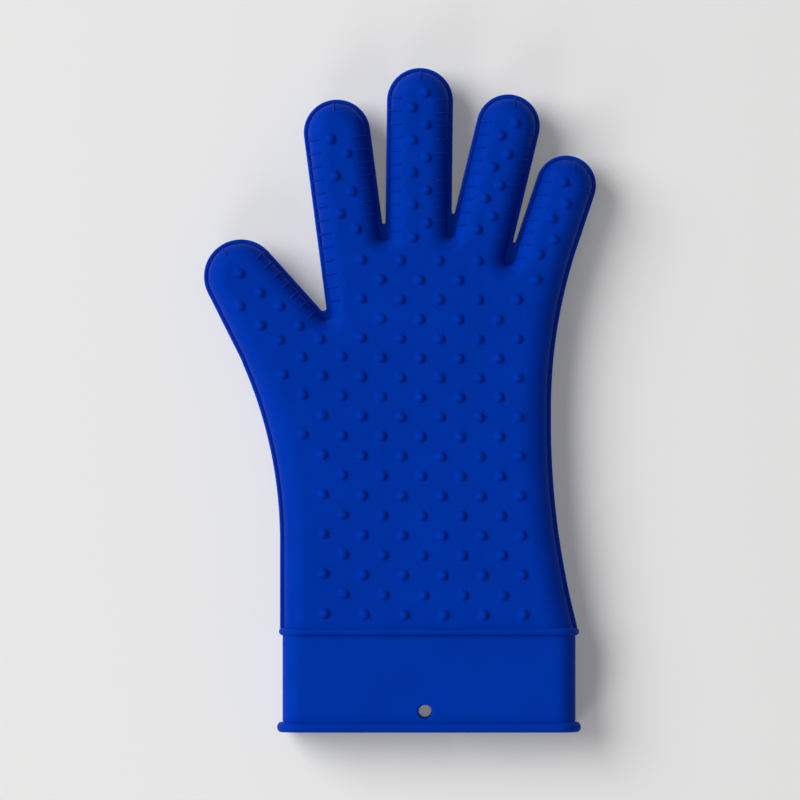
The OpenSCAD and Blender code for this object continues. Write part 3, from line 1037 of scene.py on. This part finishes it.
for digit in DIGITS:
    root_s, middle_s = root_cut(digit), middle_cut(digit)
    root_shell = skin_shell([digit.run("left", root_s, middle_s),
                             digit.run("right", middle_s, root_s)])
    add_ribs(root_shell, digit, middle_s, root_s)
    tip_shell = skin_shell([digit.end_run(middle_s)])
    add_ribs(tip_shell, digit, -math.inf, middle_s)
    knuckle_half, middle_half = KNUCKLE_HALF[digit.name], MIDDLE_HALF[digit.name]
    for side, place in (("front", front), ("back", back)):
        extra = side == "front"
        piece = root_shell.build(f"{digit.name}_root_skin_{side}", place)
        nodes = [f"{digit.name}_base_{side}"] + ([f"{digit.name}_knuckle_fold"] if extra else [])
        finished(piece, skin_silicone, "silicone_skin", *nodes)
        along(digit, digit.knuckle + knuckle_half)
        along(digit, digit.knuckle - knuckle_half)
        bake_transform(piece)
        piece = tip_shell.build(f"{digit.name}_tip_skin_{side}", place)
        nodes = [f"{digit.name}_tip_{side}"] + ([f"{digit.name}_middle_fold"] if extra else [])
        finished(piece, skin_silicone, "silicone_skin", *nodes)
        along(digit, digit.middle + middle_half)
        along(digit, digit.middle - middle_half)
        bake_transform(piece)

for name, shell in (
    ("cuff_band", cuff_shell()),
    ("hem_bead", swept_ring(hem_bead_section(), CUFF_HALF_W - HEM_INSET)),
    ("rim_bead", swept_ring(rim_bead_section())),
):
    piece = shell.build(f"{name}_silicone", on_cuff)
    finished(piece, cuff_silicone, "silicone_cuff", name)
    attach(piece, "gauntlet")


# ---- Stage ----

def pale_floor():
    mesh = bpy.data.meshes.new("floor")
    half = 4.0
    mesh.from_pydata([(-half, -half, 0), (half, -half, 0), (half, half, 0), (-half, half, 0)],
                     [], [(0, 1, 2, 3)])
    floor = bpy.data.objects.new("floor", mesh)
    bpy.context.scene.collection.objects.link(floor)
    material = bpy.data.materials.new("pale_floor")
    material.use_nodes = True
    shader = material.node_tree.nodes["Principled BSDF"]
    shader.inputs["Base Color"].default_value = (0.81, 0.81, 0.805, 1)
    shader.inputs["Roughness"].default_value = 0.9
    shader.inputs["Specular IOR Level"].default_value = 0.1
    mesh.materials.append(material)


def area_light(name, place, size, power, target=(0, 0, 0)):
    data = bpy.data.lights.new(name, "AREA")
    data.shape = "DISK"
    data.size = size
    data.energy = power
    light = bpy.data.objects.new(name, data)
    light.location = place
    light.rotation_euler = (Vector(target) - Vector(place)).to_track_quat("-Z", "Y").to_euler()
    bpy.context.scene.collection.objects.link(light)


def light_from_above(strength, spread_degrees):
    data = bpy.data.lights.new("above", "SUN")
    data.energy = strength
    data.angle = math.radians(spread_degrees)
    light = bpy.data.objects.new("above", data)
    light.location = (0, 0, 2)
    bpy.context.scene.collection.objects.link(light)


def sky(strength):
    world = bpy.data.worlds.new("studio")
    world.use_nodes = True
    background = world.node_tree.nodes["Background"]
    background.inputs["Color"].default_value = (1, 1, 1, 1)
    background.inputs["Strength"].default_value = strength
    bpy.context.scene.world = world


def overhead_camera():
    """Straight above, with the parting plane filling the frame at 0.4 m across."""
    distance, across, sensor = 6.0, 0.4, 36.0
    data = bpy.data.cameras.new("camera")
    data.sensor_width = sensor
    data.lens = sensor * distance / across
    data.clip_end = 20
    camera = bpy.data.objects.new("camera", data)
    camera.location = (0, 0, MID_Z * MM + distance)
    bpy.context.scene.collection.objects.link(camera)
    bpy.context.scene.camera = camera


pale_floor()
sky(0.11)
area_light("key", (-4.4, 2.0, 4.0), 5.0, 384)
area_light("low_fill", (-1.0, -1.9, 1.1), 1.2, 12)
light_from_above(0.66, 3)
overhead_camera()
bpy.context.scene.view_settings.view_transform = "Standard"
